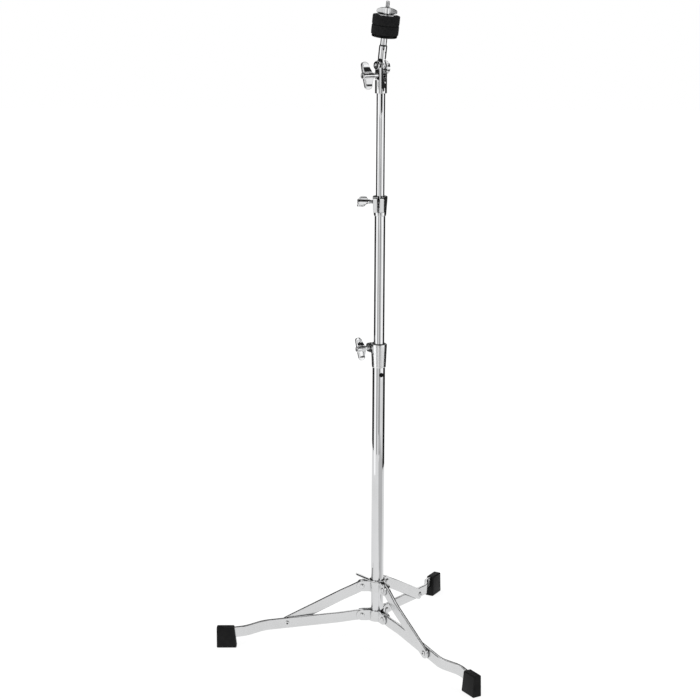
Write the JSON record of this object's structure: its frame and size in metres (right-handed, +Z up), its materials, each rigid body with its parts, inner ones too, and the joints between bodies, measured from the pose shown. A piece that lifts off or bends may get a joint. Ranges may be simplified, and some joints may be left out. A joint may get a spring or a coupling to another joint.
{
  "type": "straight cymbal stand",
  "caption": "Straight cymbal stand: telescoping tube mast with wing-screw collars, tilter with felted rod, and a flat folding tripod base of bar legs with rubber feet.",
  "frame": {"origin": "on the floor, under the middle of the bounding box of the stand as it stands open", "axes": "+Z up along the mast, which stands at a point offset from the origin because the three legs reach unequally; the first leg points along -X"},
  "size_m": [0.395, 0.4388, 0.9828],
  "materials": {
    "tube_chrome": "polished chrome plate",
    "cast_chrome": "chrome plate over a casting",
    "flat_bar": "chrome plate on flat steel bar",
    "small_steel": "plated turned steel",
    "rubber": "matt moulded rubber",
    "felt": "pressed wool felt",
    "nylon": "black nylon",
    "black_cup": "black cup washer"
  },
  "bodies": {
    "base": {"base_tube": "tube_chrome", "base_collar": "cast_chrome", "collar_rivet": "small_steel", "lower_hub_strip_1": "flat_bar", "lower_hub_strip_2": "flat_bar", "lower_hub_strip_3": "flat_bar", "lower_hub_rivet_1": "small_steel", "lower_hub_rivet_2": "small_steel", "lower_hub_rivet_3": "small_steel"},
    "slider": {"upper_hub_strip_1": "flat_bar", "upper_hub_strip_2": "flat_bar", "upper_hub_strip_3": "flat_bar", "upper_hub_rivet_1": "small_steel", "upper_hub_rivet_2": "small_steel", "upper_hub_rivet_3": "small_steel"},
    "lock_plate": {"lock_plate": "small_steel"},
    "leg_1": {"leg_1": "flat_bar", "foot_1": "rubber", "leg_rivet_1": "small_steel"},
    "strut_1": {"strut_1": "flat_bar", "strut_rivet_1": "small_steel"},
    "leg_2": {"leg_2": "flat_bar", "foot_2": "rubber", "leg_rivet_2": "small_steel"},
    "strut_2": {"strut_2": "flat_bar", "strut_rivet_2": "small_steel"},
    "leg_3": {"leg_3": "flat_bar", "foot_3": "rubber", "leg_rivet_3": "small_steel"},
    "strut_3": {"strut_3": "flat_bar", "strut_rivet_3": "small_steel"},
    "base_screw": {"base_wing_screw": "cast_chrome"},
    "mid_swivel": {"base_bushing": "nylon"},
    "mid_section": {"mid_tube": "tube_chrome", "mid_collar": "cast_chrome"},
    "mid_screw": {"mid_wing_screw": "cast_chrome"},
    "top_swivel": {"mid_bushing": "nylon"},
    "top_section": {"top_tube": "tube_chrome", "tilter_socket": "cast_chrome", "tilter_pin": "small_steel"},
    "tilter_screw": {"tilter_wing_screw": "cast_chrome"},
    "rod": {"tilter_rod": "small_steel", "cup_washer": "black_cup", "rod_sleeve": "nylon", "lower_felt": "felt"},
    "clamp_stack": {"upper_felt": "felt", "top_washer": "small_steel"},
    "wing_nut": {"wing_nut": "cast_chrome"}
  },
  "joints": [
    {"name": "leg_1_fold", "type": "hinge", "parent": "base", "child": "leg_1", "pos_m": [0.02798, -0.00873, 0.04608], "axis": [0, 1, 0], "range_deg": [0, 91.41]},
    {"name": "leg_2_fold", "type": "hinge", "parent": "base", "child": "leg_2", "pos_m": [0.06327, 0.01165, 0.04608], "axis": [0.866, -0.5, 0], "range_deg": [0, 91.41]},
    {"name": "leg_3_fold", "type": "hinge", "parent": "base", "child": "leg_3", "pos_m": [0.06327, -0.0291, 0.04608], "axis": [-0.866, -0.5, 0], "range_deg": [0, 91.41]},
    {"name": "slider_slide", "type": "slide", "parent": "base", "child": "slider", "axis": [0, 0, 1], "range_m": [0, 0.1999]},
    {"name": "strut_1_fold", "type": "hinge", "parent": "slider", "child": "strut_1", "pos_m": [0.02798, -0.00873, 0.09382], "axis": [0, -1, 0], "range_deg": [0, 58]},
    {"name": "strut_2_fold", "type": "hinge", "parent": "slider", "child": "strut_2", "pos_m": [0.06327, 0.01165, 0.09382], "axis": [-0.866, 0.5, 0], "range_deg": [0, 58]},
    {"name": "strut_3_fold", "type": "hinge", "parent": "slider", "child": "strut_3", "pos_m": [0.06327, -0.0291, 0.09382], "axis": [0.866, 0.5, 0], "range_deg": [0, 58]},
    {"name": "lock_plate_tilt", "type": "hinge", "parent": "slider", "child": "lock_plate", "pos_m": [0.06351, -0.00873, 0.10237], "axis": [0, 1, 0], "range_deg": [0, 6], "stiffness_Nm_per_rad": 0.1},
    {"name": "base_screw_turn", "type": "hinge", "parent": "base", "child": "base_screw", "pos_m": [0.04284, 0.0023, 0.471], "axis": [-0.7859, -0.6184, 0], "continuous": true},
    {"name": "mid_swivel_turn", "type": "hinge", "parent": "base", "child": "mid_swivel", "pos_m": [0.05151, -0.00873, 0.4702], "axis": [0, 0, 1], "continuous": true},
    {"name": "mid_section_slide", "type": "slide", "parent": "mid_swivel", "child": "mid_section", "axis": [0, 0, 1], "range_m": [-0.18, 0.17]},
    {"name": "mid_screw_turn", "type": "hinge", "parent": "mid_section", "child": "mid_screw", "pos_m": [0.04956, -0.02101, 0.694], "axis": [-0.9877, 0.1564, 0], "continuous": true},
    {"name": "top_swivel_turn", "type": "hinge", "parent": "mid_section", "child": "top_swivel", "pos_m": [0.05151, -0.00873, 0.6932], "axis": [0, 0, 1], "continuous": true},
    {"name": "top_section_slide", "type": "slide", "parent": "top_swivel", "child": "top_section", "axis": [0, 0, 1], "range_m": [-0.138, 0.15]},
    {"name": "tilter_screw_turn", "type": "hinge", "parent": "top_section", "child": "tilter_screw", "pos_m": [0.05151, -0.00873, 0.877], "axis": [-0.7859, -0.6184, 0], "continuous": true},
    {"name": "rod_tilt", "type": "hinge", "parent": "top_section", "child": "rod", "pos_m": [0.05151, -0.00873, 0.8912], "axis": [0.7859, 0.6184, 0], "range_deg": [-89, 71]},
    {"name": "stack_lift", "type": "slide", "parent": "rod", "child": "clamp_stack", "axis": [0.0967, -0.1229, 0.9877], "range_m": [0, 0.036]},
    {"name": "wing_nut_turn", "type": "hinge", "parent": "clamp_stack", "child": "wing_nut", "pos_m": [0.05151, -0.00873, 0.8912], "axis": [0.0967, -0.1229, 0.9877], "continuous": true}
  ],
  "couplings": [
    {"joint": "leg_2_fold", "follows": "leg_1_fold", "ratio": 1},
    {"joint": "leg_3_fold", "follows": "leg_1_fold", "ratio": 1},
    {"joint": "slider_slide", "follows": "leg_1_fold", "m_per_rad": 0.12527},
    {"joint": "strut_1_fold", "follows": "leg_1_fold", "ratio": 0.63397},
    {"joint": "strut_2_fold", "follows": "leg_1_fold", "ratio": 0.63397},
    {"joint": "strut_3_fold", "follows": "leg_1_fold", "ratio": 0.63397}
  ]
}
